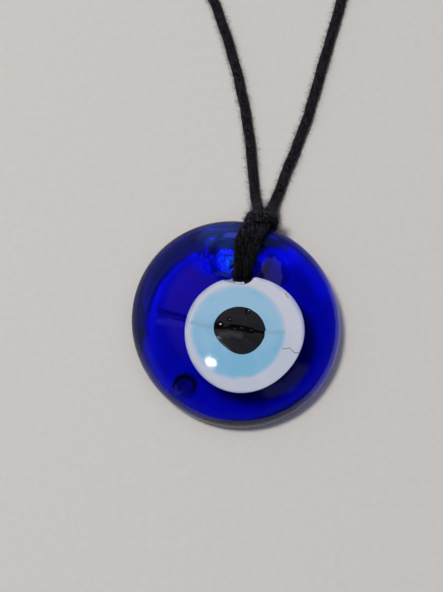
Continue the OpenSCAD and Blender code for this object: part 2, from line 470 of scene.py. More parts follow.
        # Painted light: by the hollow, where the glass is thin, the lamp light is tinted paler and
        # greener
        thin = batch.add(FADE, batch.away(place, self.hollow_glow), 1.8, 3.8, 1.0, 0.0)
        pale = batch.add("Mix RGBA", thin, (1, 1, 1, 1), (1.2, 3.0, 1.1, 1))
        return batch.add("BsdfTransparent", batch.add("VectorMath SCALE", pale, lets))

    def shade_over_pit(self, batch: Batch, place: NodeSocket) -> NodeSocket:
        """Paint shade over the pit, darkest at its sharp edge, on its right and towards its top.

        Args:
            batch: The material's nodes.
            place: The place on the disc.

        Returns:
            The share of its dark ground.
        """
        around = batch.away(batch.stirred(place, 1.5, 0.08), self.pit_shade_at)
        off_ring = batch.add("Math SUBTRACT", around, self.pit_shade_r)
        height = batch.add("SeparateXYZ", place).node.outputs["Y"]
        upper = batch.add(FADE, height, -14.2, -12.4, 0.45, 1.0)
        inside = batch.add(FADE, off_ring, -0.2, 0.0, 1.0, 0.0)
        patches = batch.add("TexNoise", Vector=place, Scale=0.6, Detail=1.0)
        facets = batch.add(FADE, patches, 0.4, 0.6, 0.45, 0.75)
        edge = batch.add(FADE, batch.add("Math ABSOLUTE", off_ring), 0.1, 0.38, 0.72, 0.0)
        deep = batch.add(FADE, batch.from_line(place, self.pit_shade_line), 0.2, 0.8, 0.7, 0.0)
        inner = batch.add("Math MAXIMUM", batch.product(inside, facets, upper), deep)
        return batch.add("Math MAXIMUM", batch.product(edge, upper), inner)

    def painted_layers(self, batch: Batch, place: NodeSocket) -> list[tuple[NodeSocket, str]]:
        """List the painted light and shade laid over the clear front, from the lowest layer up.

        They are painted shade over the pit, a painted highlight under the fold, a faint blue-violet
        layer on the outer shoulder, painted navy shade on the shoulder, most on the lamp's side, and the
        patches of painted light and shade.

        Args:
            batch: The material's nodes.
            place: The place on the disc.

        Returns:
            The share and the sRGB hex colour of each.
        """
        fold_highlight = batch.from_line(batch.stirred(place, 3.0, 0.2), self.fold_highlight)
        loose = batch.stirred(place, 4.0, 0.15)
        out = batch.away(loose, (0, 0))
        turned = batch.add(FADE, batch.add(DOT, place, self.band_towards), -4.0, 8.0, 0.0, 1.0)
        outer = batch.product(batch.add(FADE, out, 17.1, 17.7, 0.0, 1.0), turned)
        left = batch.add(FADE, batch.add("SeparateXYZ", place), -7.6, -5.2, 1.0, 0.0)
        inner = batch.add(FADE, batch.away(loose, self.veil_at), 14.4, 15.3, 0.0, 1.0)
        lamp_rim = batch.add("Math MAXIMUM", outer, batch.product(inner, left, turned))
        listed = [
            (self.shade_over_pit(batch, place), "04041c"),
            (batch.add(FADE, fold_highlight, 0.05, 0.9, 0.02, 0.0), "c8b0ff"),
            (batch.product(batch.add(FADE, out, 17.0, 18.4, 0.0, 1.0), 0.04), "4048c0"),
            (batch.product(lamp_rim, self.rim_shade), "1e225a"),
        ]
        rough = batch.stirred(place, 1.5, 0.35)
        for painted_patch in self.painted_patches:
            far = batch.from_line(rough, painted_patch.line)
            lit = batch.add(FADE, far, painted_patch.inner, painted_patch.outer, painted_patch.share, 0.0)
            listed.append((lit, painted_patch.colour))
        return listed

    def build(self) -> Material:
        """Make the material: clear glass under its layers of painted light and shade, and open glass for
        the lamp's light.

        Returns:
            The material.
        """
        material = bpy.data.materials.new("cobalt_glass_fire_polished")
        batch = Batch(material)
        place = batch.on_disc()
        waves = batch.add("TexNoise", Vector=place, Scale=1 / self.ripple_mm, Detail=1.0)
        height = batch.add("SeparateXYZ", place).node.outputs["Z"]
        in_front = batch.add("Math GREATER_THAN", height, GIRTH_H)
        skin = batch.add(
            "BsdfPrincipled",
            Base_Color=self.tint(batch, place, in_front),
            Roughness=self.roughness,
            IOR=GLASS_IOR,
            Transmission_Weight=1.0,
            Normal=batch.add("Bump", Strength=self.ripple, Distance=0.1 * MM, Height=waves),
        )
        # Each layer of painted light or shade is a matte colour mixed over the front's skin
        for share, colour in self.painted_layers(batch, place):
            veil = batch.add("BsdfDiffuse", linear(colour))
            skin = batch.add("MixShader", batch.product(share, in_front), skin, veil)
        open_glass = self.open_glass(batch, place, in_front)
        path = batch.add("LightPath").node.outputs
        for ray in ("Is Diffuse Ray", "Is Shadow Ray"):
            skin = batch.add("MixShader", path[ray], skin, open_glass)
        body = batch.add("VolumeAbsorption", Color=self.absorbs, Density=self.density)
        batch.add("OutputMaterial", skin, body)
        return material


@dataclass(frozen=True)
class Mark:
    """A fine line, real or painted light: its corners as u and v, colour, half width and how far it
    fades.
    """

    line: Line
    colour: str
    half: float
    soft: float


@dataclass(frozen=True)
class OpaqueGlass:
    """Opaque coloured glass, dropped on hot and fire polished.

    Its surface is as glossy as the clear glass. Its colour is even but for a little cloud and a slight
    darkening towards the bottom of the disc, and melts into the ring round it at its edge. Its marks
    and rings can be painted shade and painted highlights as well as real cracks.
    """

    name: str
    core: str
    cloud: str
    edge: str
    centre: Pair
    edge_from: float
    edge_to: float
    roughness: float = 0.032
    cloud_mm: float = 5.0
    marks: tuple[Mark, ...] = ()
    # Rings of painted shade round bubbles: middle as u and v and radius, and their colour
    rings: tuple[Triple, ...] = ()
    ring_colour: str = "040405"

    def build(self) -> Material:
        """Make the material: its cloudy colour, its edge, its marks and rings of painted shade round
        bubbles.

        Returns:
            The material.
        """
        material = bpy.data.materials.new(self.name)
        batch = Batch(material)
        place = batch.on_disc()
        clouds = batch.add("TexNoise", Vector=place, Scale=1 / self.cloud_mm, Detail=3.0, Roughness=0.55)
        up = batch.add("SeparateXYZ", place).node.outputs["Y"]
        # The colour grows a little darker towards the bottom of the disc
        cloudy = batch.add("Math ADD", clouds, batch.add(FADE, up, -10.0, 6.0, 0.2, -0.2))
        colour = batch.add("ValToRGB", cloudy, stops=((0.3, self.core), (0.7, self.cloud)))
        out = batch.away(batch.stirred(place, 2.2, 0.22), self.centre)
        painted = [(batch.add(FADE, out, self.edge_from, self.edge_to, 0.0, 1.0), self.edge)]
        rough = batch.stirred(place, 0.9, 0.07)
        for mark in self.marks:
            far = batch.from_line(rough, mark.line)
            near = batch.add(FADE, far, mark.half, mark.half + mark.soft, 1.0, 0.0)
            painted.append((near, mark.colour))
        for u, v, r in self.rings:
            off_ring = batch.add("Math SUBTRACT", batch.away(place, (u, v)), r)
            near = batch.add(FADE, batch.add("Math ABSOLUTE", off_ring), 0.05, 0.2, 1.0, 0.0)
            painted.append((near, self.ring_colour))
        for share, paint in painted:
            colour = batch.add("Mix RGBA", share, colour, linear(paint))
        skin = batch.add("BsdfPrincipled", Base_Color=colour, Roughness=self.roughness, IOR=GLASS_IOR)
        batch.add("OutputMaterial", skin)
        return material


@dataclass(frozen=True)
class SpunCotton:
    """Soft black cotton yarn, loosely spun and dyed.

    It takes nearly all light, and only the loose fibres that stand off it catch a little. The stretch
    that is pulled through the hole lies flat, and painted shade darkens the cord towards the hole. The
    hitch shows its drawn fibres. The fibres are drawn far coarser than real ones, as coarse as they
    need to show.
    """

    name: str = "black_cotton_spun"
    colour: str = "010102"
    worn: str = "36323b"
    sheen_tint: str = "6a6a74"
    roughness: float = 0.95
    sheen: float = 0.25
    fibre_mm: float = 0.42
    drawn_wide_mm: float = 0.4
    drawn_long_mm: float = 2.6

    def build(self) -> Material:
        """Make the material.

        Returns:
            The material.
        """
        material = bpy.data.materials.new(self.name)
        batch = Batch(material)
        place = batch.add("TexCoord").node.outputs["Object"]
        fine = 1 / (self.fibre_mm * MM)
        fibres = batch.add("TexNoise", Vector=place, Scale=fine, Detail=4.0, Roughness=0.8)
        shade = batch.add("ValToRGB", fibres, stops=((0.45, self.colour), (0.59, self.worn)))
        along = batch.add("SeparateXYZ", place).node.outputs["Y"]
        # Painted shade: the cord grows darker towards the hole
        shade_near_hole = batch.add(FADE, along, 14.0 * MM, 17.5 * MM, 0.4, 1.0)
        size = (1 / (self.drawn_wide_mm * MM), 1 / (self.drawn_long_mm * MM), 0)
        drawn = batch.add("Mapping", place, Scale=size)
        lines = batch.add("TexNoise", Vector=drawn, Scale=1.0, Detail=2.0)
        streaks = batch.add(FADE, lines, 0.4, 0.6, 0.35, 1.5)
        here = batch.add(FADE, along, 18.5 * MM, 21.0 * MM, 1.0, 0.0)
        share = batch.product(shade_near_hole, batch.add("Mix FLOAT", here, 1.0, streaks))
        skin = batch.add(
            "BsdfPrincipled",
            Base_Color=batch.add("VectorMath SCALE", shade, share),
            Roughness=self.roughness,
            Specular_IOR_Level=0.2,
            Sheen_Weight=self.sheen,
            Sheen_Roughness=0.6,
            Sheen_Tint=linear(self.sheen_tint),
            Normal=batch.add("Bump", Strength=0.8, Distance=0.15 * MM, Height=fibres),
        )
        batch.add("OutputMaterial", skin)
        return material


class Mesher:
    """A bmesh in millimetres that ends as one piece of the scene."""

    # Millimetres under which vertices are merged and edges dropped
    weld: float = 0.0005
    sliver: float = 0.0002

    def __init__(self) -> None:
        """Start with an empty mesh."""
        self.bm = bmesh.new()

    def line(self, start: BMVert, end: Pair, steps: int) -> BMVert:
        """Draw a straight profile line in the plane of u and w.

        Args:
            start: The vertex that it leaves.
            end: Its end, as u and w.
            steps: How many equal edges it has.

        Returns:
            The vertex at its end.
        """
        place = Vector((end[0], 0, end[1]))
        made = bmesh.ops.extrude_vert_indiv(self.bm, verts=[start])
        made["verts"][0].co = place
        if steps > 1:
            bmesh.ops.subdivide_edges(self.bm, edges=made["edges"], cuts=steps - 1)
        # Subdividing renews the vertices, so the last one is found by its place
        return min(self.bm.verts, key=lambda vert: (vert.co - place).length)

    def arc(self, start: BMVert, centre: Pair, degrees: float, steps: int) -> BMVert:
        """Draw a round profile line in the plane of u and w.

        Args:
            start: The vertex that it leaves.
            centre: Centre of the arc, as u and w.
            degrees: Angle that it covers, positive from w to u.
            steps: How many edges it has.

        Returns:
            The vertex at its end.
        """
        made = bmesh.ops.spin(
            self.bm,
            geom=[start],
            cent=(centre[0], 0, centre[1]),
            axis=(0, 1, 0),
            angle=math.radians(degrees),
            steps=steps,
            use_merge=False,
        )
        return next(x for x in made["geom_last"] if isinstance(x, BMVert))

    def turn(self, steps: int) -> None:
        """Spin the whole profile round the w axis and close it.

        Args:
            steps: Faces round the axis.
        """
        bmesh.ops.spin(
            self.bm,
            geom=[*self.bm.verts, *self.bm.edges],
            cent=(0, 0, 0),
            axis=(0, 0, 1),
            angle=math.tau,
            steps=steps,
            use_merge=True,
        )
        bmesh.ops.remove_doubles(self.bm, verts=self.bm.verts, dist=self.weld)
        bmesh.ops.dissolve_degenerate(self.bm, edges=self.bm.edges, dist=self.sliver)
        bmesh.ops.recalc_face_normals(self.bm, faces=self.bm.faces)

    def piece(self, name: str, place: Matrix, smooth: bool = True) -> Object:
        """Move the mesh to its place and make it an object of the scene.

        Args:
            name: Name of the object and its mesh.
            place: Transform from the mesh's own unit to the row's metres.
            smooth: Whether its faces are shaded smooth.

        Returns:
            The object, at the origin.
        """
        bmesh.ops.transform(self.bm, matrix=place, verts=self.bm.verts)
        for face in self.bm.faces:
            face.smooth = smooth
        mesh = bpy.data.meshes.new(name)
        self.bm.to_mesh(mesh)
        self.bm.free()
        piece = bpy.data.objects.new(name, mesh)
        bpy.context.scene.collection.objects.link(piece)
        return piece


def cut_away(piece: Object, cutters: list[Object]) -> None:
    """Cut other closed meshes out of a piece, and remove them.

    Args:
        piece: The piece that is cut.
        cutters: The closed meshes to take away.
    """
    for cutter in cutters:
        cut = piece.modifiers.new("cut", "BOOLEAN")
        cut.operation, cut.solver, cut.object = "DIFFERENCE", "MANIFOLD", cutter
    bpy.context.view_layer.update()
    shaped = bpy.data.meshes.new_from_object(piece.evaluated_get(bpy.context.evaluated_depsgraph_get()))
    piece.modifiers.clear()
    old, piece.data = piece.data, shaped
    shaped.name = piece.name
    bpy.data.meshes.remove(old)
    for cutter in cutters:
        bpy.data.objects.remove(cutter)


def dress(piece: Object, node: Node, material: Material) -> None:
    """Give a piece its material and put it in the place of its CAD node.

    Args:
        piece: The piece.
        node: The CAD node that it stands for.
        material: Its material.
    """
    piece.data.materials.clear()
    piece.data.materials.append(material)
    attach(piece, "root")
    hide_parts(node.value)
    log.info("%s: %d faces", piece.name, len(piece.data.polygons))


@dataclass(frozen=True)
class Surface:
    """The front of the disc as one height field, in millimetres, that all the glass pieces share."""

    disc_r: float = DISC_R
    disc_h: float = 7.0
    girth_h: float = GIRTH_H
    shoulder_r: float = 3.8
    heel_r: float = 2.8
    heel_edge: float = 1.0
    # Direction in degrees, and how far inside the widest line the flat back ends there
    heel_outs: Line = (
        (-180, 3.1), (-150, 2.4), (-135, 2.3), (-120, 2.6), (-90, 3.0), (-60, 2.7), (-40, 2.1),
        (-15, 1.6), (40, 1.6), (60, 2.0), (80, 3.4), (130, 3.4), (180, 3.1),
    )
    oval: float = 0.36
    oval_turn: float = 135.0
    shift: Pair = (-0.18, 0.0)
    flat_r: float = 11.3
    fall_r: float = 34.0125
    hole: Pair = HOLE
    hole_r: float = 2.15
    hollow: Pair = (-0.1, 12.1)
    hollow_r: float = 6.22857
    hollow_w: float = 10.32857
    lip: float = 0.5
    # The fold across the front, its raised bank, and the ripples by the hole
    fold_deep: float = 0.11
    fold_half: float = 0.42
    fold_bank: float = 0.05
    ripple_at: Pair = (-1.6, 12.6)
    ripple_high: float = 0.055
    lump_high: float = 0.05
    swell_high: float = 0.012
    crease: Line = (
        (-17.0, 2.0), (-14.6, 1.4), (-12.3, 0.7), (-9.8, 0.1), (-8.5, -0.5), (-6.4, -1.1),
        (-4.4, -1.4), (-2.45, -1.7), (-0.5, -1.42), (1.2, -1.65), (2.87, -2.18), (4.5, -2.3),
        (5.35, -2.5), (8.0, -2.4),
    )
    # Middle as u and v, radius and height
    bubbles: tuple[tuple[float, float, float, float], ...] = (
        (-3.3, -1.0, 0.6, 0.04), (-1.4, 0.0, 0.34, 0.02), (2.0, 1.4, 0.5, -0.015),
        (0.7, -1.7, 0.24, 0.005), (1.3, -1.75, 0.22, 0.006), (1.85, -1.9, 0.24, 0.006),
        (2.4, -2.05, 0.2, 0.005),
    )

    def plain(self, u: float, v: float) -> float:
        """Work out the height of the pressed front before it was pierced.

        Args:
            u: Sideways, from the disc's centre.
            v: Up the disc.

        Returns:
            The height.
        """
        r = math.hypot(u, v)
        if r <= self.flat_r:
            return self.disc_h
        if r <= self.disc_r - self.shoulder_r:
            return self.disc_h - self.fall_r + math.sqrt(self.fall_r**2 - (r - self.flat_r) ** 2)
        out = min(r - (self.disc_r - self.shoulder_r), self.shoulder_r)
        return self.girth_h + math.sqrt(self.shoulder_r**2 - out**2)

    def heel_out(self, angle: float) -> float:
        """Work out how far inside the widest line the flat back ends.

        Args:
            angle: The direction from the middle, in degrees.

        Returns:
            The distance.
        """
        for (a, x), (b, y) in zip(self.heel_outs, self.heel_outs[1:], strict=False):
            if angle <= b:
                return x + (y - x) * smooth_step(a, b, angle)
        return self.heel_outs[-1][1]

    def heel(self, r: float, w: float, angle: float) -> Pair:
        """Move a point of the rounded heel to the real one, which leaves the flat back more steeply.

        Args:
            r: Distance of the point from the middle.
            w: Its height.
            angle: Its direction from the middle, in degrees.

        Returns:
            Its new distance and height.
        """
        knee, reach = self.disc_r - self.heel_r, self.heel_out(angle)
        if r <= knee:
            return r * (self.disc_r - reach) / knee, w
        sine, cosine = (r - knee) / self.heel_r, (self.girth_h - w) / self.heel_r
        power = 1 + self.heel_edge * cosine
        return self.disc_r - reach * (1 - sine**power), self.girth_h * (1 - cosine**power)

    def uneven(self, u: float, v: float) -> Pair:
        """Move a point of the round disc to the hand-made one, which is a little oval.

        Args:
            u: Sideways, from the disc's centre.
            v: Up the disc.

        Returns:
            Its new u and v.
        """
        r = math.hypot(u, v)
        if r < 1:
            return u, v
        share = smooth_step(12.0, self.disc_r, r)
        grow = self.oval * math.cos(2 * (math.atan2(v, u) - math.radians(self.oval_turn)))
        return u + share * (grow * u / r + self.shift[0]), v + share * (grow * v / r + self.shift[1])

    def pierced(self, u: float, v: float) -> float:
        """Work out how far the hollow and the rolled lip of the hole lower the front.

        Args:
            u: Sideways, from the disc's centre.
            v: Up the disc.

        Returns:
            The change of height, 0 or less.
        """
        front = self.plain(u, v)
        away = math.dist((u, v), self.hollow)
        # Beyond the ball's reach, a bowl well above the front leaves it as it is
        bowl = self.hollow_w + 5.0
        if away < self.hollow_r:
            bowl = self.hollow_w - math.sqrt(self.hollow_r**2 - away**2)
        height = soft_min(front, bowl, 0.5)
        rim = self.hole_r + self.lip - math.dist((u, v), self.hole)
        if rim > 0:
            height -= self.lip * (1 - math.sqrt(max(1 - min(rim / self.lip, 1.0) ** 2, 0.0)))
        return height - front

    def outward(self, point: Vector) -> Vector:
        """Find the direction straight away from the glass.

        Args:
            point: A point outside the glass, on the level disc.

        Returns:
            The direction.
        """
        u, v, w = point
        r = math.hypot(u, v)
        high = w >= self.girth_h
        knee = self.disc_r - (self.shoulder_r if high else self.heel_r)
        if r <= knee:
            return Vector((0, 0, 1 if high else -1))
        return Vector((u / r * (r - knee), v / r * (r - knee), w - self.girth_h)).normalized()

    def clear(self, point: Vector, gap: float = 0.03) -> Vector:
        """Push a point of a cord out of the glass.

        Args:
            point: The point on the level disc.
            gap: How far from the glass it must be.

        Returns:
            The point, moved where it lay inside the glass.
        """
        u, v, w = point
        r = math.hypot(u, v)
        if math.dist((u, v), self.hole) < self.hole_r or r > self.disc_r + gap:
            return point
        high = w >= self.girth_h
        bend = self.shoulder_r if high else self.heel_r
        knee = self.disc_r - bend
        if r <= knee:
            if high:
                return Vector((u, v, max(w, self.plain(u, v) + self.pierced(u, v) + gap)))
            return Vector((u, v, min(w, -gap)))
        middle = Vector((u / r * knee, v / r * knee, self.girth_h))
        off = point - middle
        return point if off.length >= bend + gap else middle + off.normalized() * (bend + gap)

    def to_crease(self, u: float, v: float) -> Pair:
        """Measure the distance to the fold line that runs across the front.

        Args:
            u: Sideways, from the disc's centre.
            v: Up the disc.

        Returns:
            The distance, and the place along the line from 0 to 1.
        """
        best, where = 99.0, 0.0
        last = len(self.crease) - 1
        for i in range(last):
            (a, b), (c, d) = self.crease[i], self.crease[i + 1]
            run = (c - a) ** 2 + (d - b) ** 2
            t = min(max(((u - a) * (c - a) + (v - b) * (d - b)) / run, 0.0), 1.0)
            gap = math.hypot(u - a - t * (c - a), v - b - t * (d - b))
            if gap < best:
                best, where = gap, (i + t) / last
        return best, where

    def bubbled(self, u: float, v: float) -> float:
        """Work out how far the small bubbles lift the front, each with a groove round it.

        Args:
            u: Sideways, from the disc's centre.
            v: Up the disc.

        Returns:
            The change of height.
        """
        change = 0.0
        for a, b, r, high in self.bubbles:
            near = math.hypot(u - a, v - b) / r
            change += high * max(1 - near**2, 0.0) ** 0.5 * smooth_step(1.0, 0.8, near)
            change -= 0.25 * abs(high) * math.exp(-(((near - 1.15) / 0.22) ** 2))
        return change

    def worked(self, u: float, v: float) -> float:
        """Work out the small marks that pressing and piercing left in the front.

        Args:
            u: Sideways, from the disc's centre.
            v: Up the disc.

        Returns:
            The change of height.
        """
        gap, where = self.to_crease(u, v)
        # The fold is deepest across the pupil, faint on the dots, and runs out at both ends
        strength = 0.1 + 0.9 * smooth_step(6.5, 4.5, abs(u - 0.3)) if u > -9 else 0.5
        strength *= smooth_step(0.0, 0.06, where) * smooth_step(1.0, 0.9, where)
        fold = -self.fold_deep * strength * math.exp(-((gap / self.fold_half) ** 2))
        fold += self.fold_bank * strength * math.exp(-(((gap - 0.9) / 0.5) ** 2))
        away = math.dist((u, v), self.ripple_at)
        near_hole = smooth_step(8.0, 4.5, away) * smooth_step(3.0, 0.5, u) * smooth_step(7.2, 10.0, v)
        bend = noise.noise(Vector((u * 0.35, v * 0.35, 4.2)))
        ripple = self.ripple_high * near_hole * math.sin(3.4 * away + 2.6 * bend + 0.7 * u)
        ripple += self.lump_high * near_hole * noise.noise(Vector((u * 0.9, v * 1.3, 1.7)))
        swell = self.swell_high * noise.noise(Vector((u * 0.1, v * 0.1, 8.1)))
        return fold + ripple + swell * smooth_step(19.0, 14.0, math.hypot(u, v)) + self.bubbled(u, v)


@dataclass
class GlassDisc:
    """The cobalt glass disc with its hole, hollow, marks and pit."""

    surface: Surface = field(default_factory=Surface)
    finish: CobaltGlass = field(default_factory=CobaltGlass)
    pit: Pair = PIT
    pit_r: float = 2.51154
    pit_depth: float = 1.3
    back_below: float = 1.2
    # The hole from the back up: how much wider than its radius, the height and the edges to there
    hole_profile: tuple[tuple[float, float, int], ...] = (
        (2.2, -1.0, 1), (0.35, 0.85, 6), (0.0, 1.5, 3), (0.0, 9.0, 12),
    )
    hole_turns: int = 72
    # Edges along the flat, the fall, the shoulder, the heel and the back, and round the disc
    edges: tuple[int, ...] = (38, 20, 26, 18, 48)
    turns: int = 256

    def hole_cutter(self, grow: float = 0.0) -> Object:
        """Make the shape of the hole, flared at the back.

        Args:
            grow: How much wider than the hole, all round.

        Returns:
            The cutter, in its place.
        """
        s, m = self.surface, Mesher()
        profile = self.hole_profile
        at = m.bm.verts.new((0, 0, profile[0][1]))
        for wider, height, steps in profile:
            at = m.line(at, (s.hole_r + grow + wider, height), steps)
        m.line(at, (0, profile[-1][1]), 1)
        m.turn(self.hole_turns)
        return m.piece("hole_cutter", LEAN.matrix() @ Matrix.Translation((*s.hole, 0)))

    def build(self) -> Object:
        """Turn the disc, press its marks in and pierce it.

        Returns:
            The finished piece.
        """
        s, m = self.surface, Mesher()
        flat, falling, shoulder, heel, back = self.edges
        at = m.bm.verts.new((0, 0, s.disc_h))
        at = m.line(at, (s.flat_r, s.disc_h), flat)
        fall = math.degrees(math.asin((s.disc_r - s.shoulder_r - s.flat_r) / (s.fall_r - s.shoulder_r)))
        at = m.arc(at, (s.flat_r, s.disc_h - s.fall_r), fall, falling)
        at = m.arc(at, (s.disc_r - s.shoulder_r, s.girth_h), 90 - fall, shoulder)
        at = m.arc(at, (s.disc_r - s.heel_r, s.girth_h), 90, heel)
        m.line(at, (0, 0), back)
        m.turn(self.turns)
        for vert in m.bm.verts:
            u, v, w = vert.co
            r = math.hypot(u, v)
            # The heel first, then the marks of the front or the pit in the back
            if r > 0 and w < s.girth_h - 0.001:
                fresh, vert.co.z = s.heel(r, w, math.degrees(math.atan2(v, u)))
                u, v, w = u * fresh / r, v * fresh / r, vert.co.z
                vert.co.xy = (u, v)
            if w > s.girth_h + 0.4:
                share = smooth_step(s.girth_h + 0.4, s.girth_h + 2.6, w)
                vert.co.z += s.pierced(u, v) + share * s.worked(u, v)
            elif w < self.back_below:
                away = math.dist((u, v), self.pit)
                if away < self.pit_r:
                    depth = self.pit_depth - self.pit_r + math.sqrt(self.pit_r**2 - away**2)
                    vert.co.z = max(depth, w)
        for vert in m.bm.verts:
            vert.co.xy = s.uneven(vert.co.x, vert.co.y)
        disc = m.piece("glass_disc", LEAN.matrix())
        cut_away(disc, [self.hole_cutter()])
        disc.data.shade_smooth()
        dress(disc, Node.GLASS, self.finish.build())
        return disc


@dataclass
class EyeDot:
    """One coloured dot of the eye: a plate that follows the disc's front and stands a hair proud."""

    name: str
    node: Node
    slot: Slot
    finish: OpaqueGlass
    centre: Pair
    radius: float
    thickness: float
    proud: float
    # Waves of the hand-made outline: how many round it, their share of the radius, their turn
    wobble: tuple[tuple[int, float, float], ...]
    surface: Surface = field(default_factory=Surface)
    rings: int = 30
    turns: int = 160
    # Drops of glass at the dot's edge: middle and radius
    beads: tuple[tuple[float, float, float, float], ...] = ()
    above: "EyeDot | None" = None
    sink: float = 0.12
    taper: float = 0.25

    def outline(self, angle: float) -> float:
        """Radius of the dot's hand-made outline at an angle, as a share of its radius."""
        return 1 + sum(size * math.cos(n * angle - math.radians(turn)) for n, size, turn in self.wobble)

    def under(self, u: float, v: float) -> float:
        """Work out how far the dot sinks because the dot above covers it.

        Args:
            u: Sideways, from the disc's centre.
            v: Up the disc.

        Returns:
            The distance.
        """
        if self.above is None:
            return 0.0
        a, b = u - self.above.centre[0], v - self.above.centre[1]
        reach = self.above.radius * self.above.outline(math.atan2(b, a))
        return self.sink * smooth_step(0.93, 0.87, math.hypot(a, b) / reach)

    def build(self, holes: list[Object]) -> Object:
        """Turn the plate, press it on the front and cut the hole's shapes out.

        Args:
            holes: Cutters for the hole and hollow.

        Returns:
            The finished piece.
        """
        s, m = self.surface, Mesher()
        top, low = s.disc_h, s.disc_h - self.thickness
        at = m.bm.verts.new((0, 0, top))
        at = m.line(at, (self.radius, top), self.rings)
        at = m.line(at, (self.radius - self.taper, low), 3)
        m.line(at, (0, low), 2)
        m.turn(self.turns)
        for vert in m.bm.verts:
            u, v, w = vert.co
            share = self.outline(math.atan2(v, u))
            u, v = self.centre[0] + u * share, self.centre[1] + v * share
            drop = s.plain(u, v) - s.disc_h
            if w > top - 0.01:
                edge = math.hypot(vert.co.x, vert.co.y) / self.radius
                rounding = 0.5 * self.proud * smooth_step(0.94, 1.0, edge)
                drop += s.pierced(u, v) + s.worked(u, v) + self.proud - rounding
                drop -= self.under(u, v)
                # What lies deeper than the plate is cut off below
                drop = max(drop, s.plain(u, v) - s.disc_h + 0.1 - self.thickness)
            vert.co = (u, v, w + drop)
        dot = m.piece(self.name, LEAN.matrix())
        if holes:
            cut_away(dot, holes)
        if self.beads:
            whole = bmesh.new()
            whole.from_mesh(dot.data)
            for u, v, w, r in self.beads:
                place = LEAN.matrix() @ Matrix.Translation((u, v, w)) @ Matrix.Diagonal((1, 0.8, 0.7, 1))
                bmesh.ops.create_icosphere(whole, subdivisions=3, radius=r, matrix=place)
            whole.to_mesh(dot.data)
            whole.free()
        dot.data.shade_smooth()
        dress(dot, self.node, self.finish.build())
        return dot


